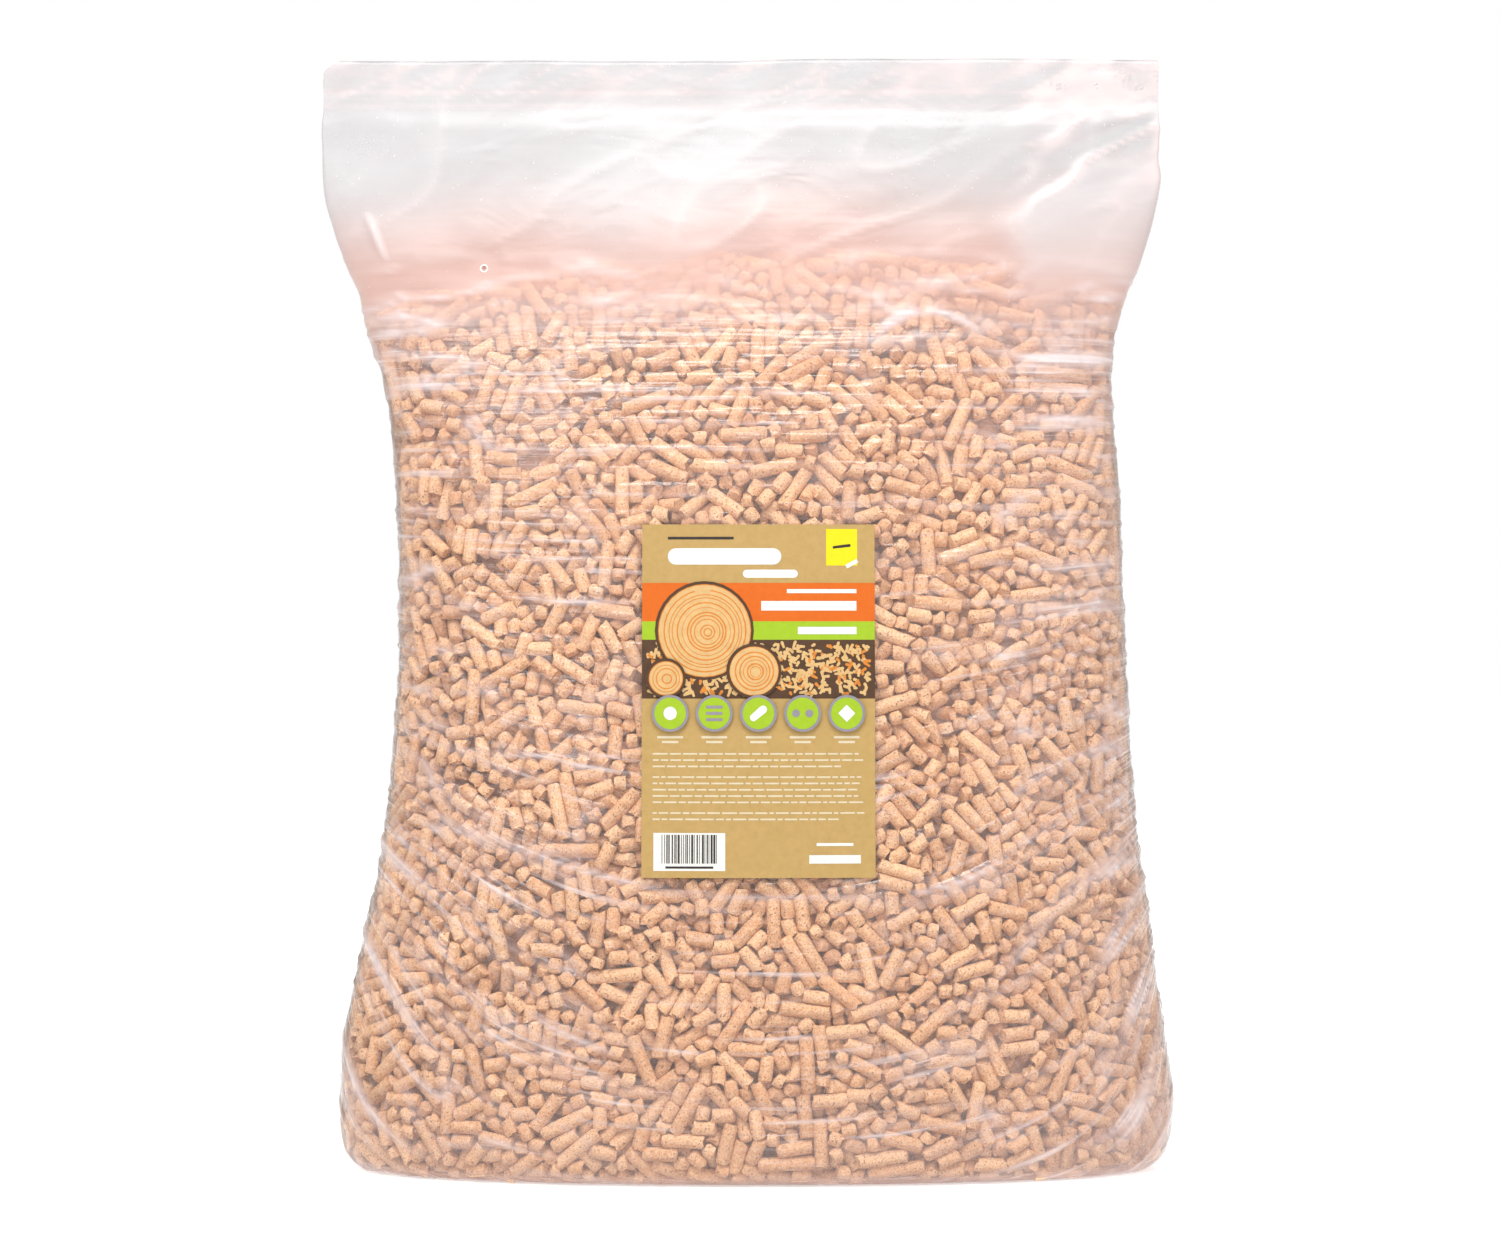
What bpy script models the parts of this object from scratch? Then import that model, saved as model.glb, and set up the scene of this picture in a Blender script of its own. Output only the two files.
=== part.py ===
"""A 15 kg bag of wood-pellet cat litter: a clear film bag, its loose fill of pellets and a paper label.

Metres, +Z up. The bag stands on its flattened base, and the label faces -Y. The origin is under the
middle of the bag, in the plane that it stands on.
"""

import math

import bmesh
import bpy

MM = 0.001

# Driving dimensions, in millimetres.
WELD_Z = 606.0  # top of the welded band that shuts the mouth
WELD_BAND = 8.0  # height of the welded band
FILM = 0.15  # thickness of one sheet of film
GAP = 0.3  # clearance between pieces that lie on each other
BASE_RADIUS = 17.0  # rounding between the base and the walls
FILL_SHOULDER_Z = 460.0  # where the heap of pellets starts to draw in
FILL_TOP_Z = 514.0
LABEL_WIDTH = 127.0
LABEL_HEIGHT = 192.0
LABEL_X = 6.0  # the label's middle
LABEL_Z = 265.0
LABEL_THICKNESS = 0.2
VENT_X = -147.0  # the vent punched through the front sheet
VENT_Z = 505.0
VENT_DIAMETER = 3.0
PUNCH_LENGTH = 12.0  # crosses the front sheet and stops short of the back one

# The bag's shape, from the floor to the cut edge of its mouth: height, reach to the left, reach to the
# right, and half its depth.
STATIONS = (
    (0.0, 228.0, 236.0, 82.0),
    (40.0, 228.5, 239.0, 84.0),
    (83.0, 225.0, 233.5, 84.0),
    (117.0, 218.5, 228.5, 83.0),
    (151.0, 210.5, 224.0, 81.5),
    (185.0, 204.5, 219.0, 79.0),
    (252.0, 197.5, 214.0, 73.0),
    (320.0, 195.5, 211.0, 66.0),
    (388.0, 197.5, 208.0, 57.5),
    (438.0, 203.5, 204.5, 48.5),
    (472.0, 212.0, 206.0, 40.0),
    (506.0, 222.5, 218.0, 30.0),
    (540.0, 234.0, 226.5, 17.5),
    (574.0, 239.0, 230.0, 7.0),
    (598.0, 239.0, 231.5, 1.3),
    (606.0, 239.0, 231.5, 0.15),
    (620.0, 237.5, 231.5, 0.15),
    (625.0, 229.0, 231.0, 0.15),
)
BODY_FULLNESS = 2.15  # exponent of the superellipse that a section follows: 2 is an ellipse
NECK_FULLNESS = 1.8
NECK_STARTS_Z = 380.0  # the exponent changes between these two heights
NECK_ENDS_Z = 540.0
LEAST_DEPTH = 0.02  # share of its half depth that a drawn-in section always keeps
HEAP_ROUNDING = 0.6  # how squarely the heap of pellets draws in towards its top: 1 is an ellipse

# How finely each piece is cut into faces.
AROUND = 40
BASE_RINGS = (0.0, 0.7, 2.6, 5.7, 10.5, 17.0)
BODY_RINGS = tuple(range(40, 580, 30)) + (583.0, 598.0)
LIP_RINGS = (606.0, 614.0, 620.0, 625.0)
HEAP_RINGS = 6
LABEL_COLUMNS = 12
LABEL_ROWS = 16
VENT_SIDES = 16
SHARP_ANGLE = 50.0  # degrees


def shape_at(z, column):
    """One column of STATIONS at height z, on a smooth curve through its values."""
    heights = [station[0] for station in STATIONS]
    values = [station[column] for station in STATIONS]
    last = len(heights) - 2
    i = max(k for k in range(last + 1) if k == 0 or heights[k] <= z)

    def slope(k):
        low, high = max(k - 1, 0), min(k + 1, last + 1)
        return (values[high] - values[low]) / (heights[high] - heights[low])

    span = heights[i + 1] - heights[i]
    t = min(max((z - heights[i]) / span, 0.0), 1.0)
    return (
        values[i] * (1 + 2 * t) * (1 - t) ** 2
        + values[i + 1] * t * t * (3 - 2 * t)
        + slope(i) * span * t * (1 - t) ** 2
        - slope(i + 1) * span * t * t * (1 - t)
    )


def rounding(z):
    """How far the rounded edge of the base draws the walls in at height z."""
    below = max(BASE_RADIUS - z, 0.0)
    return BASE_RADIUS - math.sqrt(BASE_RADIUS**2 - below**2)


def fullness(z):
    """The section's exponent, falling from the body's to the neck's."""
    share = min(max((z - NECK_STARTS_Z) / (NECK_ENDS_Z - NECK_STARTS_Z), 0.0), 1.0)
    return BODY_FULLNESS + (NECK_FULLNESS - BODY_FULLNESS) * share


def reaches(z, inset):
    """The section's reach to the left, to the right and to the front at height z, drawn in by inset."""
    drawn_in = rounding(z) + inset
    depth = shape_at(z, 3)
    depth -= min(drawn_in, (1 - LEAST_DEPTH) * depth)
    return shape_at(z, 1) - drawn_in, shape_at(z, 2) - drawn_in, depth


def section(z, inset=0.0, scale=1.0):
    """The points of the bag's section at height z, scaled about the middle line."""
    left, right, depth = reaches(z, inset)
    power = 2.0 / fullness(z)
    points = []
    for k in range(AROUND):
        angle = 2 * math.pi * k / AROUND
        across, along = math.cos(angle), math.sin(angle)
        x = math.copysign(abs(across) ** power, across) * (right if across > 0 else left)
        y = math.copysign(abs(along) ** power, along) * depth
        points.append((x * scale, y * scale, z))
    return points


def lining(z, inset):
    """The section at z drawn in by inset, and over the base also raised by it."""
    raised = inset * max(1 - z / BASE_RADIUS, 0.0)
    return [(x, y, height + raised) for x, y, height in section(z, inset)]


def front_of(x, z):
    """The y of the bag's front at x and z."""
    left, right, depth = reaches(z, 0.0)
    reach = right if x > 0 else left
    power = fullness(z)
    return -depth * (1 - abs(x / reach) ** power) ** (1 / power)


def material(name, color, roughness, alpha=1.0):
    finish = bpy.data.materials.new(name)
    finish.use_nodes = True
    shader = finish.node_tree.nodes["Principled BSDF"]
    shader.inputs["Base Color"].default_value = (*color, 1.0)
    shader.inputs["Roughness"].default_value = roughness
    shader.inputs["Metallic"].default_value = 0.0
    shader.inputs["Alpha"].default_value = alpha
    return finish


def add_object(name, mesh, collection, finish=None):
    made = bpy.data.objects.new(name, mesh)
    collection.objects.link(made)
    if finish:
        mesh.materials.append(finish)
    return made


def loft(name, rings, collection, finish=None):
    """A closed body through rings of equally many points, capped at both ends."""
    work = bmesh.new()
    loops = []
    for ring in rings:
        points = [work.verts.new([MM * value for value in point]) for point in ring]
        loops.append([work.edges.new((a, b)) for a, b in zip(points, points[1:] + points[:1])])
    for lower, upper in zip(loops, loops[1:]):
        bmesh.ops.bridge_loops(work, edges=lower + upper)
    for end in (loops[0], loops[-1]):
        bmesh.ops.contextual_create(work, geom=end)
    bmesh.ops.triangulate(work, faces=work.faces[:])
    bmesh.ops.recalc_face_normals(work, faces=work.faces[:])
    mesh = bpy.data.meshes.new(name)
    work.to_mesh(mesh)
    work.free()
    mesh.shade_smooth()
    mesh.set_sharp_from_angle(angle=math.radians(SHARP_ANGLE))
    return add_object(name, mesh, collection, finish)


def make_cutter(obj):
    obj.hide_render = True
    obj.display_type = "WIRE"
    return obj


def cut(obj, cutter):
    step = obj.modifiers.new(cutter.name, "BOOLEAN")
    step.operation = "DIFFERENCE"
    step.solver = "EXACT"
    step.object = cutter


def make_film_bag(parts, cutters):
    """The film: a welded tube, hollow up to the weld, with a vent punched through its front."""
    heights = BASE_RINGS + BODY_RINGS + LIP_RINGS
    clear = material("clear_film", (0.93, 0.92, 0.93), 0.15, alpha=0.3)
    film = loft("film_bag", [section(z) for z in heights], parts, clear)

    hollow_top = WELD_Z - WELD_BAND
    inner_heights = BASE_RINGS + tuple(z for z in BODY_RINGS if z <= hollow_top)
    hollow = loft("hollow", [lining(z, FILM) for z in inner_heights], cutters)
    cut(film, make_cutter(hollow))

    bpy.ops.mesh.primitive_cylinder_add(
        vertices=VENT_SIDES,
        radius=VENT_DIAMETER / 2 * MM,
        depth=PUNCH_LENGTH * MM,
        location=(VENT_X * MM, front_of(VENT_X, VENT_Z) * MM, VENT_Z * MM),
        rotation=(math.pi / 2, 0, 0),
    )
    vent = bpy.context.object
    vent.name = "vent"
    for holder in vent.users_collection:
        holder.objects.unlink(vent)
    cutters.objects.link(vent)
    cut(film, make_cutter(vent))
    return film


def make_pellet_fill(parts):
    """The pellets as one settled body: it fills the bag to the shoulder, and heaps up above it."""
    inset = FILM + GAP
    heights = BASE_RINGS + tuple(z for z in BODY_RINGS if z < FILL_SHOULDER_Z)
    rings = [lining(z, inset) for z in heights]
    rise = FILL_TOP_Z - FILL_SHOULDER_Z
    for step in range(HEAP_RINGS):
        angle = math.pi / 2 * step / HEAP_RINGS
        z = FILL_SHOULDER_Z + rise * math.sin(angle)
        rings.append(section(z, inset, scale=math.cos(angle) ** HEAP_ROUNDING))
    wood = material("wood_pellet", (0.78, 0.55, 0.36), 0.8)
    return loft("pellet_fill", rings, parts, wood)


def make_front_label(parts):
    """The paper label: a flat sheet bent to lie on the front of the bag."""
    work = bmesh.new()
    bmesh.ops.create_grid(work, x_segments=LABEL_COLUMNS, y_segments=LABEL_ROWS, size=0.5)
    grown = bmesh.ops.extrude_face_region(work, geom=work.faces[:])
    front = {item for item in grown["geom"] if isinstance(item, bmesh.types.BMVert)}
    for vert in work.verts:
        x = LABEL_X + vert.co.x * LABEL_WIDTH
        z = LABEL_Z + vert.co.y * LABEL_HEIGHT
        stands_off = GAP + (LABEL_THICKNESS if vert in front else 0.0)
        vert.co = (x * MM, (front_of(x, z) - stands_off) * MM, z * MM)
    bmesh.ops.recalc_face_normals(work, faces=work.faces[:])
    mesh = bpy.data.meshes.new("front_label")
    work.to_mesh(mesh)
    work.free()
    paper = material("label_paper", (0.72, 0.56, 0.31), 0.6)
    return add_object("front_label", mesh, parts, paper)


def main():
    for obj in list(bpy.data.objects):
        bpy.data.objects.remove(obj)
    parts = bpy.data.collections.new("cat_litter_bag")
    cutters = bpy.data.collections.new("cutters")
    for collection in (parts, cutters):
        bpy.context.scene.collection.children.link(collection)
    make_film_bag(parts, cutters)
    make_pellet_fill(parts)
    make_front_label(parts)


main()
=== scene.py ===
"""The looks of a bag of wood-pellet cat litter: pellets seen through a clear, creased film bag with a label.

Metres, +Z up, and the label faces -Y. The bag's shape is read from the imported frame.
"""

import math

import bmesh
import bpy
import numpy as np
from mathutils import Matrix, Quaternion, Vector


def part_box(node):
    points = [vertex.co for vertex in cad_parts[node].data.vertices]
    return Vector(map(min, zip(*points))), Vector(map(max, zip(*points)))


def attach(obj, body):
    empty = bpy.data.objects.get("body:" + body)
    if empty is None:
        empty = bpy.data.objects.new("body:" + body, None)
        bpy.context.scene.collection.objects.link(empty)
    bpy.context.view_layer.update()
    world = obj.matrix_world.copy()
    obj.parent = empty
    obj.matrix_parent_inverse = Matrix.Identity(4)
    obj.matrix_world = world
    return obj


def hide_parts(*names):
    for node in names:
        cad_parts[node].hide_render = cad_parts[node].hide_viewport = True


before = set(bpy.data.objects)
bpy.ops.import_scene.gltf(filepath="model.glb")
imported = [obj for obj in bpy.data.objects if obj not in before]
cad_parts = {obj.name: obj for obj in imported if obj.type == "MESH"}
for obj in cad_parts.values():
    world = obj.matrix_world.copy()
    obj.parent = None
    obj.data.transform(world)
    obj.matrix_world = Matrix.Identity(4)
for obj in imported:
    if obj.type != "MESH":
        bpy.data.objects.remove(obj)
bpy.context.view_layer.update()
label_low, label_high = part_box("front_label")

MM = 0.001
SEED = 20

# The film's section is a superellipse, and its exponent falls from the body's to the neck's.
BODY_FULLNESS = 2.15
NECK_FULLNESS = 1.8
NECK_STARTS = 380 * MM
NECK_ENDS = 540 * MM

# The pellets fill a layer under the film, and a rough core fills the rest.
PELLET_RADIUS = 4.0 * MM
SHORTEST_PELLET = 7.0 * MM
LONGEST_PELLET = 31.0 * MM
PELLET_SHAPES = 28
PELLET_SIDES = 9
PELLET_SPREAD = 2.3  # how much commoner the short pellets are: 1 is evenly spread
RUBBED_SHARE = 0.35  # share of a pellet's ends that are rubbed round, and not snapped
COLLAR = 1.7 * MM  # how far from its ends a pellet's side starts to change
LAYER = 21 * MM
CORE_DEPTH = 15 * MM
SOLID_SHARE = 0.63  # share of the layer's space that the pellets take up
PLACES_TRIED = 60000

# How the pellets settle. Each one is a row of beads.
SETTLING_STEPS = 260
SPREADING_SHARE = 0.7  # share of the steps in which the pellets also drift out towards the film
SPREADING = 0.06  # millimetres of that drift in each step
HOLDING_STEPS = 16  # in these last steps the pellets push each other less and less
LAST_PUSH = 0.2  # share of the full push at the start of those steps
PAIRING_STEPS = 5  # steps between two searches for near pellets
PAIRING_MARGIN = 2.4 * MM
BEAD_PITCH = 1.9 * MM
TOUCH = 2 * PELLET_RADIUS * 0.985
FILM_CLEARANCE = 0.7 * MM
DEEPEST = LAYER + 6 * MM  # a pellet deeper than this is drawn back up
MOST_DRAWN_UP = 2 * MM
LONGEST_MOVE = 2.5 * MM

# The heap: its crest over the width of the bag in millimetres, how far it drops at the film, and the
# lumps on it.
CREST = ((-220, 476), (-190, 490), (-130, 506), (-40, 514), (60, 517), (140, 515), (195, 508), (220, 498))
HEAP_DROP = 6 * MM
HEAP_HALF_DEPTH = 32 * MM
HEAP_LUMPS = 12 * MM
HEAP_LUMP_PITCH = 26 * MM

# The film's grid.
FRONT_COLUMNS = 240
BACK_COLUMNS = 120
ROW_PITCH = 2.6 * MM
EDGE_ROWS = 8  # rows over the rounded edge of the base
EDGE_RADIUS = 17 * MM
BASE_ROWS = 4

# The weld that shuts the mouth, and the vent punched through the front under it.
WELD_LOW = 598 * MM
WELD_TOP = 606 * MM
VENT_X = -147 * MM
VENT_Z = 505 * MM
VENT_RADIUS = 1.5 * MM


# ---- The bag's shape ----

def film_rings():
    """Height, reach to the left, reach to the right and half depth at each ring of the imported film."""
    fewest_points = 30  # the vent's edge has fewer at any one height
    least_gap = 0.25 * MM  # the film's inside has rings of its own, nearer than this
    points = np.array([vert.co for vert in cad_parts["film_bag"].data.vertices])
    heights = np.round(points[:, 2], 5)
    rings = []
    for height in np.unique(heights):
        ring = points[heights == height]
        clear_of_last = not rings or height - rings[-1][0] > least_gap
        if len(ring) >= fewest_points and clear_of_last:
            rings.append((height, -ring[:, 0].min(), ring[:, 0].max(), ring[:, 1].max()))
    return np.array(rings).T


def smooth_curve(heights, values):
    """A smooth curve through values at heights."""
    slopes = np.gradient(values, heights)

    def at(z):
        z = np.clip(z, heights[0], heights[-1])
        i = np.clip(np.searchsorted(heights, z, side="right") - 1, 0, len(heights) - 2)
        span = heights[i + 1] - heights[i]
        t = (z - heights[i]) / span
        ends = values[i] * (1 + 2 * t) * (1 - t) ** 2 + values[i + 1] * t * t * (3 - 2 * t)
        return ends + slopes[i] * span * t * (1 - t) ** 2 - slopes[i + 1] * span * t * t * (1 - t)

    return at


ring_heights, ring_lefts, ring_rights, ring_depths = film_rings()
BAG_TOP = ring_heights[-1]
left_reach = smooth_curve(ring_heights, ring_lefts)
right_reach = smooth_curve(ring_heights, ring_rights)
half_depth = smooth_curve(ring_heights, ring_depths)


def fullness(z):
    """The exponent of the section at height z."""
    share = np.clip((z - NECK_STARTS) / (NECK_ENDS - NECK_STARTS), 0, 1)
    return BODY_FULLNESS + (NECK_FULLNESS - BODY_FULLNESS) * share


def section(angle, z, scale=1.0):
    """Points of the film's section at height z. Angle 0 is at the right and 90 degrees at the front."""
    power = 2 / fullness(z)
    across, along = np.cos(angle), np.sin(angle)
    reach = np.where(across < 0, left_reach(z), right_reach(z))
    x = np.sign(across) * np.abs(across) ** power * reach * scale
    y = -np.sign(along) * np.abs(along) ** power * half_depth(z) * scale
    return np.stack([x, y, z + 0 * x], axis=-1)


def front_of(x, z):
    """The y of the film's front at x and z."""
    reach = np.where(x < 0, left_reach(z), right_reach(z))
    power = fullness(z)
    return -half_depth(z) * np.clip(1 - np.abs(x / reach) ** power, 0, 1) ** (1 / power)


def bulge(points):
    """Below 0 inside the film and above 0 outside it."""
    x, y, z = points.T
    reach = np.where(x < 0, left_reach(z), right_reach(z))
    power = fullness(z)
    return (np.abs(x / reach) ** power + np.abs(y / half_depth(z)) ** power) ** (1 / power) - 1


def under_film(points):
    """How deep each point lies under the film, and the direction out through the film there."""
    step = 0.5 * MM
    here = bulge(points)
    slope = np.stack([bulge(points + step * axis) - here for axis in np.eye(3)], axis=-1) / step
    steepness = np.linalg.norm(slope, axis=1) + 1e-9
    return -here / steepness, slope / steepness[:, None]


def make_ripples(seed):
    """A smooth random pattern over two coordinates, from 0 to 1, with features about 1 apart."""
    size = 256
    table = np.random.default_rng(seed).random((size, size))

    def at(u, v):
        i, j = np.floor(u).astype(int), np.floor(v).astype(int)
        fu, fv = u - i, v - j
        fu, fv = fu * fu * (3 - 2 * fu), fv * fv * (3 - 2 * fv)
        low = table[i % size, j % size] * (1 - fu) + table[(i + 1) % size, j % size] * fu
        high = table[i % size, (j + 1) % size] * (1 - fu) + table[(i + 1) % size, (j + 1) % size] * fu
        return low * (1 - fv) + high * fv

    return at


heap_lumps = make_ripples(SEED + 11)


def heap_top(x, y):
    """The height that the pellets reach at x and y."""
    xs, crests = np.array(CREST).T * MM
    lumps = HEAP_LUMPS * (heap_lumps(x / HEAP_LUMP_PITCH, y / HEAP_LUMP_PITCH) - 0.6)
    return np.interp(x, xs, crests) + lumps - HEAP_DROP * (y / HEAP_HALF_DEPTH) ** 2


def soft_step(value, start, end):
    """0 before start, 1 after end, and a smooth rise between them."""
    t = np.clip((value - start) / (end - start), 0, 1)
    return t * t * (3 - 2 * t)


def rise(place, start, end):
    """soft_step for a place in metres and a start and an end in millimetres."""
    return soft_step(place, start * MM, end * MM)


def ridges(pattern):
    """1 where a pattern from 0 to 1 crosses its middle, and 0 at its ends."""
    return 1 - np.abs(2 * pattern - 1)


# ---- Materials ----

class Nodes:
    """Short calls that add nodes to a tree."""

    def __init__(self, tree):
        self.tree = tree

    def add(self, kind, values=None, **settings):
        node = self.tree.nodes.new(kind)
        for key, value in settings.items():
            setattr(node, key, value)
        for socket, value in (values or {}).items():
            self.set(node, socket, value)
        return node

    def set(self, node, socket, value):
        target = node.inputs[socket]
        if isinstance(value, bpy.types.NodeSocket):
            self.tree.links.new(value, target)
        else:
            target.default_value = value

    def math(self, operation, *values, clamp=False):
        node = self.add("ShaderNodeMath", operation=operation, use_clamp=clamp)
        for index, value in enumerate(values):
            self.set(node, index, value)
        return node.outputs[0]

    def mix(self, factor, first, second):
        node = self.add("ShaderNodeMix", data_type="RGBA")
        for index, value in ((0, factor), (6, first), (7, second)):
            self.set(node, index, value)
        return node.outputs[2]

    def span(self, value, low, high, new_low=0.0, new_high=1.0):
        """value carried from one range to another, and kept inside it."""
        node = self.add("ShaderNodeMapRange", clamp=True)
        for index, number in enumerate((value, low, high, new_low, new_high)):
            self.set(node, index, number)
        return node.outputs[0]

    def attribute(self, name, output="Fac"):
        return self.add("ShaderNodeAttribute", attribute_name=name).outputs[output]

    def noise(self, place, scale, detail=3.0, roughness=0.55, distortion=0.0):
        values = {"Vector": place, "Scale": scale, "Detail": detail, "Roughness": roughness}
        values["Distortion"] = distortion
        return self.add("ShaderNodeTexNoise", values).outputs["Fac"]

    def stretch(self, place, scale):
        return self.add("ShaderNodeMapping", {"Vector": place, "Scale": scale}).outputs[0]

    def object_place(self):
        return self.add("ShaderNodeTexCoord").outputs["Object"]

    def bump(self, height, distance, strength=1.0):
        values = {"Height": height, "Distance": distance, "Strength": strength}
        return self.add("ShaderNodeBump", values).outputs[0]


class Finish(Nodes):
    """A new material."""

    def __init__(self, name):
        self.material = bpy.data.materials.new(name)
        self.material.use_nodes = True
        super().__init__(self.material.node_tree)
        self.tree.nodes.clear()

    def finish(self, shader):
        self.add("ShaderNodeOutputMaterial", {"Surface": shader})
        return self.material

    def finish_plain(self, values):
        """One Principled shader with these values, as the whole material."""
        return self.finish(self.add("ShaderNodeBsdfPrincipled", values).outputs[0])


def rgb(red, green, blue):
    return (red, green, blue, 1.0)


def pellet_wood():
    """Pressed softwood dust: peach-tan, flecked with bark, with painted shade that makes it darker and
    cooler deep between the pellets.
    """
    wood = Finish("pellet_wood")
    place = wood.object_place()
    tone = wood.attribute("tone")
    depth = wood.attribute("depth")

    ground = wood.mix(tone, rgb(0.74, 0.42, 0.21), rgb(0.93, 0.63, 0.37))
    mottle = wood.noise(place, 330.0, detail=3.0, roughness=0.7)
    ground = wood.mix(wood.span(mottle, 0.42, 0.68, 0.0, 0.8), ground, rgb(0.98, 0.73, 0.47))
    grain = wood.noise(place, 1100.0, detail=2.0, roughness=0.75)
    ground = wood.mix(wood.span(grain, 0.53, 0.36, 0.0, 0.75), ground, rgb(0.50, 0.25, 0.12))
    fleck = wood.noise(place, 780.0, detail=1.0)
    ground = wood.mix(wood.span(fleck, 0.63, 0.69, 0.0, 0.85), ground, rgb(0.25, 0.115, 0.055))
    # Painted shade: pellets lying deeper under the film are mixed towards a darker brown.
    ground = wood.mix(wood.span(depth, 0.0, 1.0, 0.0, 0.7), ground, rgb(0.50, 0.25, 0.16))

    relief = wood.math("ADD", mottle, wood.math("MULTIPLY", grain, 0.5))
    return wood.finish_plain(
        {
            "Base Color": ground,
            "Roughness": wood.span(mottle, 0.3, 0.7, 0.62, 0.85),
            "Specular IOR Level": 0.35,
            "Normal": wood.bump(relief, 0.9 * MM, 0.8),
        }
    )


def core_painted_shade():
    """The deep fill behind the pellets: dark browns that are painted shade, standing in for the shade deep
    between the pellets.
    """
    wood = Finish("core_painted_shade")
    place = wood.object_place()
    lumps = wood.noise(place, 110.0, detail=5.0, roughness=0.7)
    # Painted shade: both browns are far darker than the pellets, in place of the shade between them.
    ground = wood.mix(wood.span(lumps, 0.35, 0.65), rgb(0.30, 0.16, 0.10), rgb(0.55, 0.32, 0.21))
    return wood.finish_plain(
        {
            "Base Color": ground,
            "Roughness": wood.span(lumps, 0.3, 0.7, 0.8, 0.95),
            "Normal": wood.bump(lumps, 3 * MM, 0.8),
        }
    )


def clear_film():
    """Polyethylene film: glossy, a little hazy and dusty inside, and whiter along its creases and streaks,
    which is partly the folds' own haze and partly painted highlight.
    """
    film = Finish("clear_film")
    flow = film.attribute("flow", "Vector")
    place = film.object_place()
    crease = film.attribute("crease")
    veil = film.attribute("veil")
    dust = film.attribute("dust")
    taut = film.attribute("taut")

    long_streaks = film.noise(film.stretch(flow, (9.0, 210.0, 1.0)), 1.0, detail=1.0)
    fine_streaks = film.noise(film.stretch(flow, (26.0, 520.0, 1.0)), 1.0, detail=1.0)
    patches = film.noise(place, 16.0, detail=2.0)
    # Streaks along the tension folds add whiter haze: partly the folds' own haze and partly a painted
    # highlight of the lamps in the folds.
    streak_haze_and_sheen = film.math(
        "ADD",
        film.span(long_streaks, 0.57, 0.73),
        film.span(fine_streaks, 0.60, 0.76, 0.0, 0.7),
    )
    streak_haze_and_sheen = film.math("MULTIPLY", streak_haze_and_sheen, film.span(patches, 0.36, 0.60))
    streak_haze_and_sheen = film.math("MULTIPLY", streak_haze_and_sheen, taut)
    specks = film.span(film.noise(place, 520.0, detail=0.0), 0.80, 0.84, 0.0, 0.8)

    haze = film.math("MULTIPLY", veil, film.span(patches, 0.3, 0.75, 0.75, 1.3))
    haze = film.math("ADD", haze, film.math("MULTIPLY", streak_haze_and_sheen, 0.40))
    haze = film.math("ADD", haze, film.math("MULTIPLY", crease, 0.75))
    haze = film.math("ADD", haze, film.math("MULTIPLY", specks, 0.5), clamp=True)

    relief = film.math("ADD", long_streaks, film.math("MULTIPLY", fine_streaks, 0.35))
    dimples = film.noise(place, 110.0, detail=1.0)
    relief = film.math("ADD", relief, film.math("MULTIPLY", dimples, 1.1))
    relief = film.math("MULTIPLY", relief, taut)
    slack = film.noise(film.stretch(place, (16.0, 16.0, 30.0)), 1.0, detail=2.0, distortion=1.2)
    relief = film.math("ADD", relief, film.math("MULTIPLY", slack, 0.8))
    normal = film.bump(relief, 1.8 * MM, 0.7)

    haze_colour = film.mix(dust, rgb(0.415, 0.405, 0.412), rgb(0.452, 0.264, 0.218))
    # Creases and streaks turn the haze a pale mauve-white, partly fold haze and partly painted highlight.
    folded = film.math("ADD", streak_haze_and_sheen, crease, clamp=True)
    haze_colour = film.mix(folded, haze_colour, rgb(0.56, 0.47, 0.46))
    milk = film.add(
        "ShaderNodeBsdfPrincipled",
        {"Base Color": haze_colour, "Roughness": 0.5, "Specular IOR Level": 0.3, "Normal": normal},
    )
    clear = film.add("ShaderNodeBsdfTransparent", {"Color": rgb(0.945, 0.938, 0.942)})
    body = film.add("ShaderNodeMixShader", {0: haze, 1: clear.outputs[0], 2: milk.outputs[0]})
    roughness = film.span(taut, 0.0, 1.0, 0.38, 0.17)
    gloss = film.add(
        "ShaderNodeBsdfGlossy",
        {"Color": rgb(1.0, 1.0, 1.0), "Roughness": roughness, "Normal": normal},
    )
    edge = film.add("ShaderNodeFresnel", {"IOR": 1.45, "Normal": normal})
    whole = film.add("ShaderNodeMixShader", {0: edge.outputs[0], 1: body.outputs[0], 2: gloss.outputs[0]})
    return film.finish(whole.outputs[0])


def milky_film():
    """The film where it is turned over and stretched white."""
    film = Finish("milky_film")
    cloud = film.noise(film.object_place(), 900.0, detail=3.0)
    return film.finish_plain(
        {
            "Base Color": film.mix(cloud, rgb(0.80, 0.77, 0.75), rgb(0.92, 0.90, 0.88)),
            "Roughness": film.span(cloud, 0.3, 0.7, 0.25, 0.45),
            "Normal": film.bump(cloud, 0.2 * MM, 0.4),
        }
    )


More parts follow.
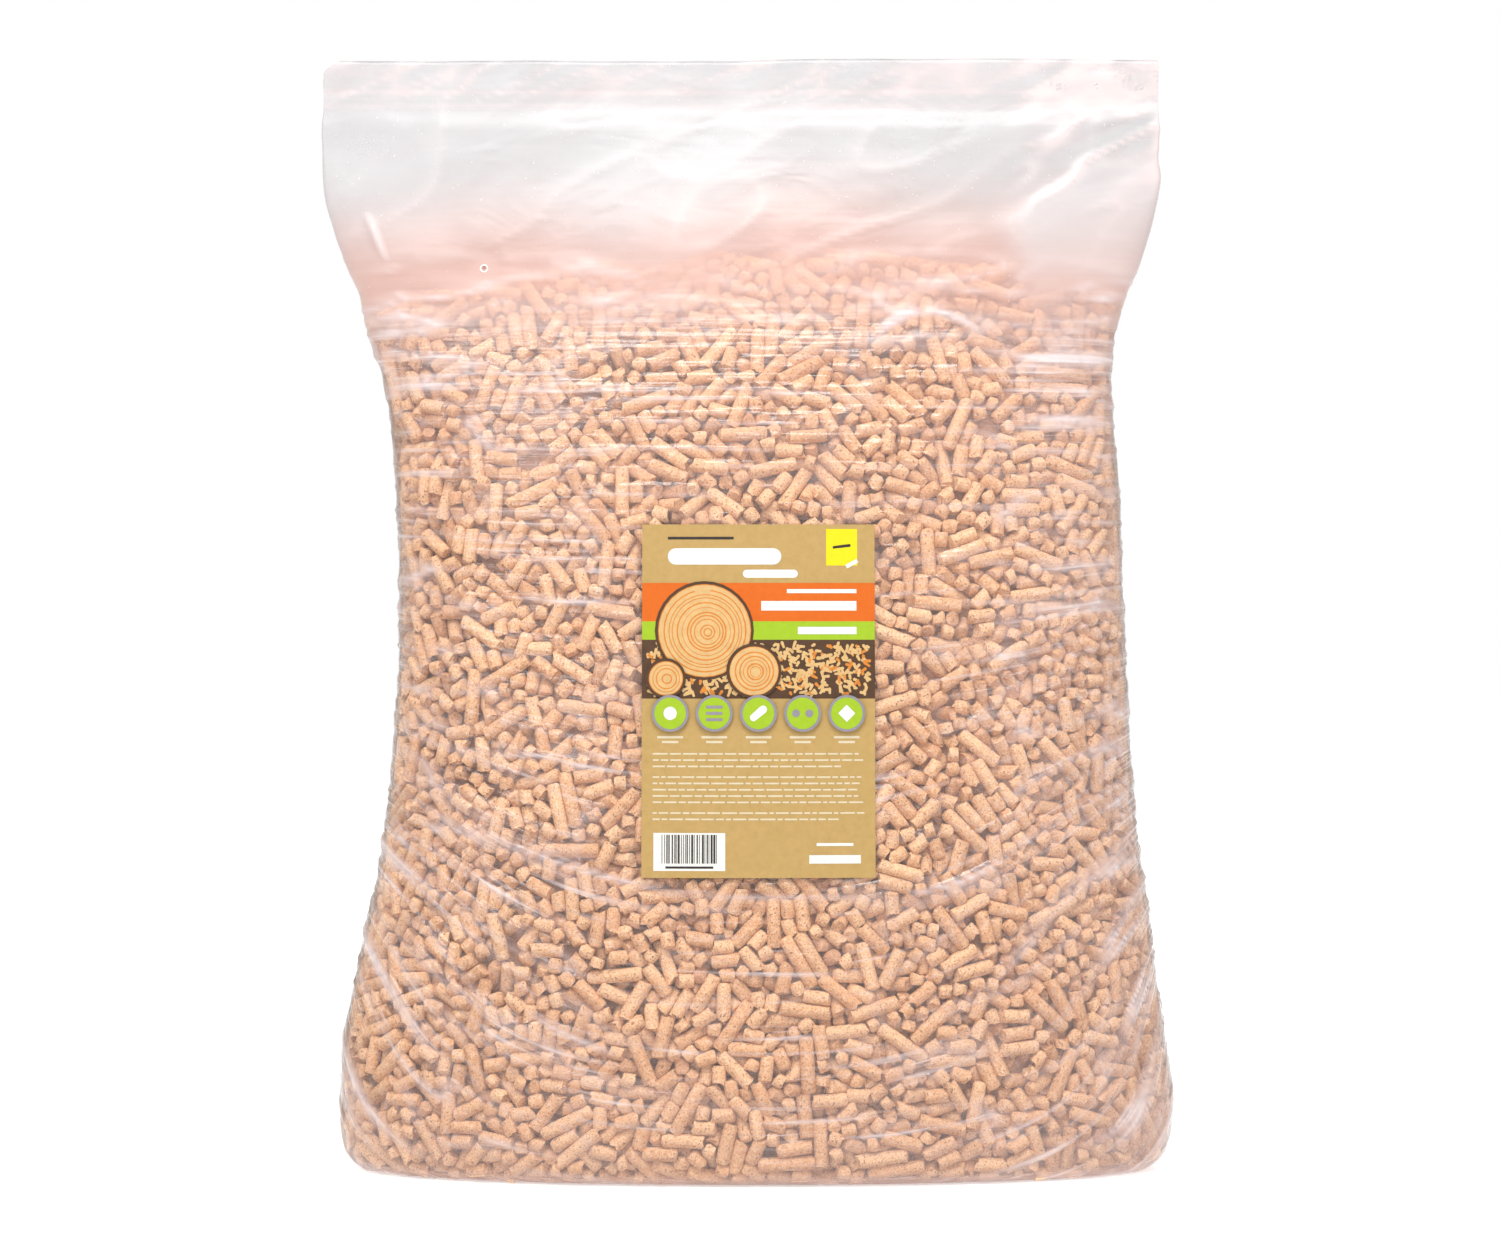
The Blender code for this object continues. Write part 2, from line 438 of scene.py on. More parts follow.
def uneven_print():
    """A node group: one ink's colour over paper fibre, with the roughness and relief that go with it."""
    group = bpy.data.node_groups.new("uneven_print", "ShaderNodeTree")
    for name in ("Ink", "Thin Ink", "Worn Ink"):
        group.interface.new_socket(name, in_out="INPUT", socket_type="NodeSocketColor")
    for name, kind in (("Color", "Color"), ("Roughness", "Float"), ("Normal", "Vector")):
        group.interface.new_socket(name, in_out="OUTPUT", socket_type="NodeSocket" + kind)
    paper = Nodes(group)
    given = paper.add("NodeGroupInput")
    place = paper.object_place()
    fibre = paper.noise(place, 260.0, detail=5.0, roughness=0.7)
    fleck = paper.noise(place, 1300.0, detail=2.0)
    ground = paper.mix(paper.span(fibre, 0.3, 0.7), given.outputs["Thin Ink"], given.outputs["Ink"])
    ground = paper.mix(paper.span(fleck, 0.62, 0.72, 0.0, 0.25), ground, given.outputs["Worn Ink"])
    results = {
        "Color": ground,
        "Roughness": paper.span(fibre, 0.3, 0.7, 0.42, 0.54),
        "Normal": paper.bump(fleck, 0.05 * MM, 0.3),
    }
    paper.add("NodeGroupOutput", results)
    return group


def printed_paper(name, print_group, ink, thin_ink):
    """Coated label paper in one ink."""
    paper = Finish(name)
    worn_ink = [0.75 * share for share in ink]
    inks = {"Ink": rgb(*ink), "Thin Ink": rgb(*thin_ink), "Worn Ink": rgb(*worn_ink)}
    printed = paper.add("ShaderNodeGroup", inks, node_tree=print_group)
    return paper.finish_plain(
        {
            "Base Color": printed.outputs["Color"],
            "Roughness": printed.outputs["Roughness"],
            "Specular IOR Level": 0.25,
            "Normal": printed.outputs["Normal"],
        }
    )


def floor_paint():
    """White paint that glows a little, so that the floor is as white as the air behind it."""
    paint = Finish("floor_paint")
    cloud = paint.noise(paint.object_place(), 3.0)
    return paint.finish_plain(
        {
            "Base Color": paint.mix(cloud, rgb(0.94, 0.94, 0.94), rgb(0.96, 0.96, 0.96)),
            "Roughness": 0.8,
            "Specular IOR Level": 0.1,
            "Emission Color": rgb(1.0, 1.0, 1.0),
            "Emission Strength": 0.48,
        }
    )


# ---- Making pieces ----

def mesh_from(work, name):
    """A mesh with what a bmesh holds. The bmesh is used up."""
    mesh = bpy.data.meshes.new(name)
    work.to_mesh(mesh)
    work.free()
    return mesh


def make_drum(columns, rows):
    """An upright drum of radius 1, from -1 to 1 on Z, with its wall cut into rows."""
    drum = bmesh.new()
    bmesh.ops.create_cone(drum, cap_ends=True, segments=columns, radius1=1, radius2=1, depth=2)
    sides = [edge for edge in drum.edges if abs(edge.verts[0].co.z - edge.verts[1].co.z) > 1]
    bmesh.ops.subdivide_edges(drum, edges=sides, cuts=rows - 1)
    return drum


def link(name, data):
    """A new object for data, in the scene."""
    made = bpy.data.objects.new(name, data)
    bpy.context.scene.collection.objects.link(made)
    return made


def add_piece(name, mesh, material, slot, *nodes):
    """An object for a finished mesh, riding on the bag and standing for the CAD nodes named."""
    piece = link(name, mesh)
    mesh.materials.clear()
    mesh.materials.append(material)
    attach(piece, "root")
    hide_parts(*nodes)
    return piece


def give_values(mesh, name, values):
    """One number, or three, for each vertex of mesh, under name."""
    flat = np.ascontiguousarray(values, dtype=np.float32)
    kind, key = ("FLOAT", "value") if flat.ndim == 1 else ("FLOAT_VECTOR", "vector")
    mesh.attributes.new(name, kind, "POINT").data.foreach_set(key, flat.ravel())


# ---- Pellets ----

def pellet_lengths():
    spread = np.linspace(0, 1, PELLET_SHAPES) ** PELLET_SPREAD
    return SHORTEST_PELLET + (LONGEST_PELLET - SHORTEST_PELLET) * spread


def make_pellet_shape(length, draw):
    """One pellet along Z: a pressed rod, snapped off ragged or rubbed round at each end."""
    shape = bmesh.new()
    bmesh.ops.create_cone(
        shape,
        cap_ends=True,
        cap_tris=True,
        segments=PELLET_SIDES,
        radius1=PELLET_RADIUS,
        radius2=PELLET_RADIUS,
        depth=length,
    )
    sides = [edge for edge in shape.edges if abs(edge.verts[0].co.z - edge.verts[1].co.z) > length / 2]
    bmesh.ops.subdivide_edges(shape, edges=sides, cuts=2)
    bow = draw.uniform(-0.35, 0.35) * MM
    rubbed = {end: draw.random() < RUBBED_SHARE for end in (-1, 1)}
    slant = {end: draw.uniform(-0.35, 0.35, 2) for end in (-1, 1)}
    collar = min(COLLAR, length / 4)
    for vert in shape.verts:
        end = 1 if vert.co.z > 0 else -1
        at_end = abs(vert.co.z) > 0.49 * length
        on_axis = vert.co.xy.length < 0.1 * MM
        if at_end and on_axis:
            vert.co.z += end * (draw.uniform(0.0, 0.3) if rubbed[end] else draw.uniform(-1.6, 0.2)) * MM
        elif at_end:
            inward = draw.uniform(0.72, 0.8) if rubbed[end] else draw.uniform(0.86, 1.0)
            vert.co.x *= inward
            vert.co.y *= inward
            ragged = 0.25 if rubbed[end] else 2.3
            vert.co.z -= end * draw.uniform(0.0, ragged) * MM
        else:
            vert.co.z = end * (length / 2 - collar)
            swell = draw.uniform(0.96, 1.03)
            vert.co.x *= swell
            vert.co.y *= swell
        if at_end and not rubbed[end]:
            vert.co.z += vert.co.x * slant[end][0] + vert.co.y * slant[end][1]
        vert.co.x += bow * (2 * vert.co.z / length) ** 2
    return mesh_from(shape, "pellet_shape")


def scatter_pellets(draw, lengths):
    """Pellets at random in the layer under the film: middles, directions and which shape each one has."""
    low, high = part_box("film_bag")
    low, high = np.array(low), np.array(high)
    high[2] = max(crest for _, crest in CREST) * MM
    trial = draw.uniform(low, high, (PLACES_TRIED, 3))
    depth, _ = under_film(trial)
    top = heap_top(trial[:, 0], trial[:, 1]) - trial[:, 2]
    within = (depth > PELLET_RADIUS) & (top > PELLET_RADIUS) & (trial[:, 2] > PELLET_RADIUS)
    near = np.minimum(np.minimum(depth, top), trial[:, 2]) < LAYER
    kept = trial[within & near]
    space = np.prod(high - low) * np.mean((depth > 0) & (top > 0) & (trial[:, 2] > 0) & near)
    pellet_space = math.pi * PELLET_RADIUS**2 * lengths.mean()
    count = int(SOLID_SHARE * space / pellet_space)
    middles = kept[:count]
    directions = draw.normal(size=middles.shape)
    directions /= np.linalg.norm(directions, axis=1)[:, None]
    shapes = draw.integers(0, len(lengths), len(middles))
    return middles, directions, shapes


def close_pairs(points, owners, reach):
    """Pairs of points of different owners that are nearer each other than reach."""
    cells = np.floor((points - points.min(0)) / reach).astype(np.int64) + 1
    size = cells.max(0) + 2
    keys = (cells[:, 0] * size[1] + cells[:, 1]) * size[2] + cells[:, 2]
    order = np.argsort(keys, kind="stable")
    keys = keys[order]
    firsts, seconds = [], []
    everyone = np.arange(len(keys))
    # Each cell is paired with itself and with the half of its neighbours that come after it.
    for dx, dy, dz in np.ndindex(3, 3, 3):
        if (dx, dy, dz) < (1, 1, 1):
            continue
        offset = ((dx - 1) * size[1] + (dy - 1)) * size[2] + (dz - 1)
        start = everyone + 1 if offset == 0 else np.searchsorted(keys, keys + offset, "left")
        count = np.maximum(np.searchsorted(keys, keys + offset, "right") - start, 0)
        first = np.repeat(everyone, count)
        second = np.arange(count.sum()) - np.repeat(np.cumsum(count) - count, count) + start[first]
        firsts.append(order[first])
        seconds.append(order[second])
    first, second = np.concatenate(firsts), np.concatenate(seconds)
    near = np.linalg.norm(points[first] - points[second], axis=1) < reach
    near &= owners[first] != owners[second]
    return first[near], second[near]


def settle_pellets(middles, directions, half_lengths):
    """Pushes the pellets apart and inside the film until they lie against each other."""
    pellet_count = len(middles)
    core_half = np.maximum(half_lengths - PELLET_RADIUS, 0.5 * MM)
    beads = np.ceil(core_half / BEAD_PITCH).astype(int) + 1
    owners = np.repeat(np.arange(pellet_count), beads)
    order_in_pellet = np.arange(len(owners)) - np.repeat(np.cumsum(beads) - beads, beads)
    levers = (order_in_pellet / (beads[owners] - 1) * 2 - 1) * core_half[owners]
    swing = half_lengths**2 / 3 + PELLET_RADIUS**2 / 4
    everyone = np.arange(pellet_count)
    for step in range(SETTLING_STEPS):
        points = middles[owners] + directions[owners] * levers[:, None]
        if step % PAIRING_STEPS == 0:
            pairs = close_pairs(points, owners, TOUCH + PAIRING_MARGIN)
        first, second = pairs
        apart = points[first] - points[second]
        distance = np.linalg.norm(apart, axis=1) + 1e-9
        pressed = distance < TOUCH
        first, second, apart, distance = first[pressed], second[pressed], apart[pressed], distance[pressed]
        push = apart * ((TOUCH - distance) / distance / 2)[:, None]
        steps_left = SETTLING_STEPS - 1 - step
        if steps_left < HOLDING_STEPS:
            push = push * LAST_PUSH * steps_left / HOLDING_STEPS
        who = [owners[first], owners[second]]
        arm = [levers[first], levers[second]]
        moves = [push, -push]

        for end in (-1, 1):
            tip = middles + directions * (end * half_lengths)[:, None]
            depth, outward = under_film(tip)
            lean = np.abs(np.sum(directions * outward, axis=1))
            rim = PELLET_RADIUS * np.sqrt(np.clip(1 - lean**2, 0, 1))
            over = rim + FILM_CLEARANCE - depth
            move = -outward * np.clip(over, 0, None)[:, None]
            deep = depth - rim - DEEPEST
            from_top = heap_top(tip[:, 0], tip[:, 1]) - tip[:, 2]
            hidden = (from_top > DEEPEST) & (tip[:, 2] > DEEPEST)
            move += outward * (np.clip(deep, 0, MOST_DRAWN_UP) * hidden)[:, None]
            upright = np.sqrt(np.clip(1 - directions[:, 2] ** 2, 0, 1)) * PELLET_RADIUS
            move[:, 2] += np.clip(upright + FILM_CLEARANCE - tip[:, 2], 0, None)
            move[:, 2] -= np.clip(upright - from_top, 0, None)
            touching = np.linalg.norm(move, axis=1) > 0
            who.append(everyone[touching])
            arm.append((end * half_lengths)[touching])
            moves.append(move[touching])

        who, arm, moves = np.concatenate(who), np.concatenate(arm), np.concatenate(moves)
        share = swing[who] + arm**2
        slide = moves * (swing[who] / share)[:, None]
        turn = np.cross(directions[who] * arm[:, None], moves) / share[:, None]
        touches = np.maximum(np.bincount(who, minlength=pellet_count), 1)
        ease = 1.3 / touches**0.5 if steps_left < HOLDING_STEPS else 1.6 / touches**0.75

        def gathered(values):
            sums = [np.bincount(who, weights=values[:, k], minlength=pellet_count) for k in range(3)]
            return np.stack(sums, axis=-1) * ease[:, None]

        middles = middles + np.clip(gathered(slide), -LONGEST_MOVE, LONGEST_MOVE)
        directions = directions + np.cross(gathered(turn), directions)
        directions /= np.linalg.norm(directions, axis=1)[:, None]
        if step < SETTLING_STEPS * SPREADING_SHARE:
            _, outward = under_film(middles)
            middles = middles + outward * SPREADING * MM
    return middles, directions


def make_pellets(wood):
    """All the pellets that can be seen, in one piece for each zone of the bag."""
    draw = np.random.default_rng(SEED)
    lengths = pellet_lengths()
    shapes = [make_pellet_shape(length, draw) for length in lengths]
    middles, directions, kinds = scatter_pellets(draw, lengths)
    half_lengths = lengths[kinds] / 2
    middles, directions = settle_pellets(middles, directions, half_lengths)
    depth, _ = under_film(middles)
    depth = np.minimum(depth, middles[:, 2])
    tone = draw.random(len(middles))
    spin = draw.uniform(0, math.tau, len(middles))
    # How deep each pellet lies, from 0 to 1, for the painted shade that darkens the deeper pellets.
    painted_deep_shade = soft_step(depth, PELLET_RADIUS + 3 * MM, LAYER)
    front = middles[:, 1] < 0
    shares = np.argsort(np.argsort(middles[:, 2])) / len(middles)
    zones = {
        "pellets_front_low": front & (shares < 0.33),
        "pellets_front_middle": front & (shares >= 0.33) & (shares < 0.66),
        "pellets_front_high": front & (shares >= 0.66),
        "pellets_back_low": ~front & (shares < 0.5),
        "pellets_back_high": ~front & (shares >= 0.5),
    }
    for name, chosen in zones.items():
        joined = bmesh.new()
        counts = []
        for i in np.flatnonzero(chosen):
            copy = shapes[kinds[i]].copy()
            turn = Vector(directions[i]).to_track_quat("Z", "Y") @ Quaternion((0, 0, 1), spin[i])
            copy.transform(Matrix.Translation(middles[i]) @ turn.to_matrix().to_4x4())
            joined.from_mesh(copy)
            counts.append(len(copy.vertices))
            bpy.data.meshes.remove(copy)
        mesh = mesh_from(joined, name)
        mesh.shade_smooth()
        mesh.set_sharp_from_angle(angle=math.radians(48))
        give_values(mesh, "tone", np.repeat(tone[chosen], counts))
        # The depth attribute carries the painted shade of the deeper pellets.
        give_values(mesh, "depth", np.repeat(painted_deep_shade[chosen], counts))
        add_piece(name, mesh, wood, "wood_pellet", "pellet_fill")
    for shape in shapes:
        bpy.data.meshes.remove(shape)


def make_core(wood):
    """The fill behind the pellets that can be seen, as one rough closed body."""
    rows = 64
    half_width = 190 * MM
    core = make_drum(96, rows)
    lumps = make_ripples(SEED + 1)
    for vert in core.verts:
        angle = math.atan2(vert.co.y, vert.co.x)
        share = (vert.co.z + 1) / 2
        top = float(heap_top(math.cos(angle) * half_width, 0)) - CORE_DEPTH - 8 * MM
        z = CORE_DEPTH + (top - CORE_DEPTH) * share
        closing = min(share, 1 - share) * rows / 5
        scale = math.sin(min(closing, 1) * math.pi / 2) ** 0.5 if 0 < share < 1 else 0.25
        inset = CORE_DEPTH + 5 * MM * float(lumps(angle * 20, z / MM / 12))
        flat = section(np.array(angle), np.array(z))[:2]
        flat = flat * max(1 - inset / max(np.linalg.norm(flat), 1e-6), 0.2)
        flat[1] = np.sign(flat[1]) * min(abs(flat[1]), max(float(half_depth(z)) - inset, 3 * MM))
        vert.co = (flat[0] * scale, flat[1] * scale, z)
    bmesh.ops.recalc_face_normals(core, faces=core.faces[:])
    mesh = mesh_from(core, "pellet_core")
    mesh.shade_smooth()
    add_piece("pellet_core", mesh, wood, "wood_pellet", "pellet_fill")


def make_sawdust(wood):
    """The dust and crumbs that have gathered on the base, under the pellets."""
    bed = make_drum(200, 4)
    lumps = make_ripples(SEED + 9)
    for vert in bed.verts:
        angle = math.atan2(vert.co.y, vert.co.x)
        share = (vert.co.z + 1) / 2
        crest = (3.5 + 3.0 * float(lumps(angle * 40, 5.5))) * MM
        z = 1.0 * MM + crest * share
        point = section(np.array(angle), np.array(z))
        kept = 0.97 if share < 0.95 else 0.93
        vert.co = (point[0] * kept, point[1] * kept, z)
    bmesh.ops.recalc_face_normals(bed, faces=bed.faces[:])
    mesh = mesh_from(bed, "sawdust")
    mesh.shade_smooth()
    mesh.set_sharp_from_angle(angle=math.radians(60))
    add_piece("sawdust", mesh, wood, "wood_pellet", "pellet_fill")


# ---- Film ----

# Creases that stand out: where each starts and ends, how far its middle sags, its width, how far it
# stands off and how white it is, partly fold haze and partly painted highlight. Across, up and sag are in
# millimetres.
CREASES = (
    ((-213, 537), (-201, 510), 0, 3.0, 2.0, 1.0),
    ((-216, 490), (-179, 432), -9, 3.0, 2.2, 0.5),
    ((-128, 442), (-20, 436), -3, 2.2, 0.8, 0.6),
    ((-20, 438), (78, 432), -2, 2.2, 0.8, 0.7),
    ((72, 466), (98, 480), 3, 4.0, 1.6, 0.9),
    ((98, 480), (132, 466), 3, 4.0, 1.6, 0.8),
    ((-157, 348), (-62, 342), -3, 2.5, 0.9, 0.6),
    ((-128, 322), (-60, 318), -2, 2.5, 0.9, 0.7),
    ((-186, 243), (-60, 236), -5, 2.5, 1.0, 0.6),
    ((-190, 214), (-80, 180), -9, 3.0, 1.3, 0.6),
    ((-150, 196), (-30, 160), -5, 2.5, 1.0, 0.8),
    ((-60, 164), (90, 160), -4, 2.5, 1.0, 0.6),
    ((86, 160), (144, 182), -4, 3.0, 1.5, 1.0),
    ((60, 108), (120, 150), -4, 2.5, 1.0, 0.5),
    ((-205, 150), (-95, 80), -12, 3.0, 1.8, 0.5),
    ((-120, 96), (-70, 74), -2, 3.0, 1.4, 0.9),
    ((105, 96), (190, 150), -9, 3.0, 1.6, 0.5),
    ((150, 58), (212, 110), -8, 3.0, 1.6, 0.5),
    ((74, 376), (160, 372), -3, 2.5, 0.8, 0.5),
    ((-110, 508), (-60, 500), -2, 3.0, 0.8, 0.4),
)

# The edge of a folded flap of film near the right side, across and up in millimetres.
FOLD_EDGE = ((148, 534), (172, 552), (199, 566), (236, 566))

# How hazy the film is at the base, and how that changes upwards: by how much, and from which height to
# which in millimetres.
BASE_VEIL = 0.62
VEIL_CHANGES = (
    (-0.40, 0, 10),
    (-0.12, 2, 80),
    (0.10, 320, 450),
    (0.60, 438, 506),
    (-0.38, 515, 580),
)
BACK_SHIFT = 40.0  # sets the patterns of the back apart from those of the front


def crease_profile(x, z):
    """How far the creases stand off, and how white they are, at x and z on the front. The white is partly
    fold haze and partly painted highlight.
    """
    height = np.zeros_like(x)
    white = np.zeros_like(x)
    for (x0, z0), (x1, z1), sag, width, stands_off, white_and_sheen in CREASES:
        run = np.array([x1 - x0, z1 - z0], float)
        length = np.linalg.norm(run)
        run /= length
        along = ((x / MM - x0) * run[0] + (z / MM - z0) * run[1]) / length
        across = (z / MM - z0) * run[0] - (x / MM - x0) * run[1]
        across = across - sag * 4 * along * (1 - along)
        fade = np.clip(along, 0, 1) * np.clip(1 - along, 0, 1) * 4
        shape = np.exp(-((across / width) ** 2)) * fade
        height = np.maximum(height, shape * stands_off * MM)
        white = np.maximum(white, np.exp(-((across / width * 1.6) ** 2)) * np.sqrt(fade) * white_and_sheen)
    return height, white


def fold_line(x, z):
    """The height at which the tension fold through x and z crosses the middle of the bag."""
    sag = 110 * MM * np.exp(-(((z - 150 * MM) / (130 * MM)) ** 2))
    return z - sag * np.abs(x / (220 * MM)) ** 2.6


def label_cover(x, z, margin):
    """1 under the label, falling to 0 outside a margin round it."""
    beyond_x = np.maximum(label_low.x - x, x - label_high.x)
    beyond_z = np.maximum(label_low.z - z, z - label_high.z)
    return 1 - soft_step(np.maximum(beyond_x, beyond_z), 0.0, margin)


def film_grid():
    """Angle and height of each row and column of the film, from the middle of the base to the mouth."""
    fine = np.linspace(0, math.tau, 4001)
    arc = np.hypot(230 * np.sin(fine), 80 * np.cos(fine))
    front = fine < math.pi
    front_arc, back_arc = arc[front].sum(), arc[~front].sum()
    weight = np.where(front, FRONT_COLUMNS / front_arc, BACK_COLUMNS / back_arc) * arc
    passed = np.concatenate([[0], np.cumsum(weight[:-1])])
    angles = np.interp(np.linspace(0, passed[-1], FRONT_COLUMNS + BACK_COLUMNS + 1), passed, fine)
    edge = EDGE_RADIUS * (1 - np.cos(np.linspace(0, math.pi / 2, EDGE_ROWS, endpoint=False)))
    rows_above = int((BAG_TOP - EDGE_RADIUS) / ROW_PITCH)
    heights = np.concatenate([np.zeros(BASE_ROWS), edge, np.linspace(EDGE_RADIUS, BAG_TOP, rows_above)])
    scales = np.ones(len(heights))
    scales[:BASE_ROWS] = np.linspace(0, 1, BASE_ROWS, endpoint=False)
    return angles, heights, scales


def normals_out(points):
    """The direction out of the film at each point of its grid."""
    around = np.gradient(points, axis=1)
    around[:, 0] = around[:, -1] = points[:, 1] - points[:, -2]
    outward = np.cross(around, np.gradient(points, axis=0))
    outward /= np.linalg.norm(outward, axis=-1)[..., None] + 1e-12
    middle = len(points) // 2
    facing_out = np.sum(outward[middle] * points[middle] * [1, 1, 0], axis=-1).mean() > 0
    return outward if facing_out else -outward


class FilmSheet:
    """The film as a grid of points, with the patterns that its shape and its looks share."""

    def __init__(self):
        angles, heights, scales = film_grid()
        angle, self.z = np.meshgrid(angles, heights)
        self.smooth_points = section(angle, self.z, scales[:, None])
        self.x = self.smooth_points[..., 0]
        self.is_front = np.sin(angle) >= 0
        self.side = np.where(self.is_front, 0.0, BACK_SHIFT)
        self.across = self.x / MM + 500
        self.line = fold_line(self.x, self.z) / MM
        self.slope = self.z / MM - self.across * 0.45
        self.broad = make_ripples(SEED + 2)
        self.sharp = make_ripples(SEED + 3)
        self.small = make_ripples(SEED + 4)

        # Where each kind of fold lies, from 0 to 1.
        self.edge_share = np.abs(self.x / (220 * MM)) ** 1.5
        self.very_side = soft_step(np.abs(np.cos(angle)), 0.93, 0.995)
        self.above_base = rise(self.z, 4, 40)
        self.in_neck = rise(self.z, 490, 530)
        self.on_body = (1 - self.in_neck) * self.above_base
        self.below_weld = 1 - soft_step(self.z, 585 * MM, WELD_LOW)
        self.crinkled = rise(self.x, 140, 180) * rise(self.z, 530, 556)
        self.flap = self.folded_flap()

        # The folds' own patterns, from 0 to 1.
        across, side = self.across, self.side
        self.ridge = ridges(self.sharp(across / 75 + side, self.line / 11))
        self.fine_ridge = ridges(self.sharp(across / 48 + side + 90, self.line / 5.5))
        self.neck_ridge = ridges(self.sharp(across / 60 + side, self.slope / 26)) ** 5
        self.crinkle_ridge = ridges(self.small(self.slope / 11 + side, across / 24)) ** 3
        self.lip_ridge = ridges(self.small(self.slope / 9 + side, across / 40)) ** 4
        self.crease_height, self.crease_haze_and_sheen = crease_profile(self.x, self.z)

    def folded_flap(self):
        """1 where a flap of film is folded over, on the right of the neck."""
        fold_x, fold_z = np.array(FOLD_EDGE, float).T * MM
        below_edge = 1 - rise(self.z - np.interp(self.x, fold_x, fold_z), -3.5, 3.5)
        inside = soft_step(self.x, fold_x[0] - 14 * MM, fold_x[0] + 14 * MM)
        return below_edge * self.is_front * inside * rise(self.z, 470, 530)

    def flat_spots(self):
        """0 where the film lies smooth under the label and round the vent, and 1 elsewhere."""
        from_vent = np.hypot(self.x - VENT_X, self.z - VENT_Z)
        off_label = 1 - label_cover(self.x, self.z, 7 * MM)
        return np.where(self.is_front, off_label * rise(from_vent, 4, 16), 1)

    def relief(self):
        """How far the film stands off its smooth shape."""
        across, side, on_body, edge_share = self.across, self.side, self.on_body, self.edge_share
        up = self.z / MM
        folds = self.ridge**5 * (0.5 + 1.9 * edge_share * (1 - 0.75 * self.very_side)) * on_body
        folds = folds + self.fine_ridge**6 * (0.1 + 0.9 * edge_share) * on_body
        waves = self.broad(across / 45 + side, self.line / 24) * (0.5 + 0.8 * edge_share) * self.above_base
        dimples = self.small(across / 8 + side, up / 8) * 0.45 * on_body
        neck = self.broad(self.slope / 42 + side, up / 70) * 3.0
        neck = neck + self.small(across / 21 + side, up / 42) * 0.6
        neck = (neck + self.neck_ridge * 0.7) * self.in_neck * self.below_weld
        crinkles = self.crinkle_ridge * 2.4 * self.crinkled * self.below_weld
        height = (folds + waves + dimples + neck + crinkles + self.flap * 0.8) * MM
        return (height + self.crease_height * self.is_front) * self.flat_spots()

    def points(self):
        """The film's points, folded, and with its lip swaying and crinkled."""
        across, up = self.across, self.z / MM
        outward = normals_out(self.smooth_points)
        kept = self.relief() * (1 - soft_step(self.z, WELD_LOW, WELD_TOP))
        points = self.smooth_points + outward * kept[..., None]
        lip = soft_step(self.z, 560 * MM, BAG_TOP)
        sway = (self.broad(across / 120, 3.3) - 0.5) * 7 + (self.small(across / 31, 7.7) - 0.5) * 2.5
        sway = sway + (self.small(across / 11, up / 9) - 0.5) * 3 * self.crinkled
        sway = sway + (self.small(across / 19, up / 23) - 0.5) * 2.2
        points[..., 1] += sway * MM * lip
        uneven_edge = (self.broad(across / 60, 11.1) - 0.5) * 2.4 * MM
        points[..., 2] += uneven_edge * soft_step(self.z, WELD_TOP, BAG_TOP)
        points[0] = points[0].mean(axis=0)
        points[:, -1] = points[:, 0]
        return points

    def crease(self):
        """How white the film is where it is creased or welded: partly the folds' own haze and partly painted
        highlight.
        """
        edge_share, in_neck = self.edge_share, self.in_neck
        crease = self.ridge**8 * (0.15 + 0.7 * edge_share) * self.on_body * (1 - 0.65 * self.very_side)
        crease = crease + self.fine_ridge**9 * (0.05 + 0.5 * edge_share) * self.on_body
        crease = crease + self.neck_ridge**1.5 * in_neck * 0.2 + self.crinkle_ridge * self.crinkled * 0.9
        crease = crease + self.lip_ridge * 0.6 * rise(self.z, 594, 612)
        crease = np.maximum(crease, self.crease_haze_and_sheen * self.is_front)
        for weld_edge in (WELD_LOW, WELD_TOP):
            crease = crease + 0.4 * np.exp(-(((self.z - weld_edge) / (1.6 * MM)) ** 2))
        return crease

    def veil(self):
        """How much haze and dust there is on the film."""
        veil = BASE_VEIL + self.edge_share * (0.01 + 0.14 * rise(self.x, 100, 210)) + self.flap * 0.2
        for change, start, end in VEIL_CHANGES:
            veil = veil + change * rise(self.z, start, end)
        return veil

    def dust(self):
        """How much of the haze is wood dust, which ends at an uneven line in the neck."""
        uneven = (self.broad(self.across / 110, 21.3) - 0.5) * 38
        uneven = uneven + (self.broad(self.across / 37, 31.7) - 0.5) * 9
        uneven = uneven + 11 * rise(-self.x, 120, 220)
        dust = 0.75 + 0.2 * rise(self.z, 470, 495) - 0.95 * rise(self.z + uneven * MM, 505, 580)
        return np.clip(dust * (1 - 0.55 * self.flap), 0, 1)

    def taut(self):
        """1 where the film is stretched over the pellets, and little where it hangs slack above them."""
        return 1 - 0.95 * rise(self.z, 452, 492)

    def flow(self):
        """Coordinates that run along the tension folds."""
        return np.stack([self.x + self.side * MM * 9, self.line * MM, self.side * MM], axis=-1)


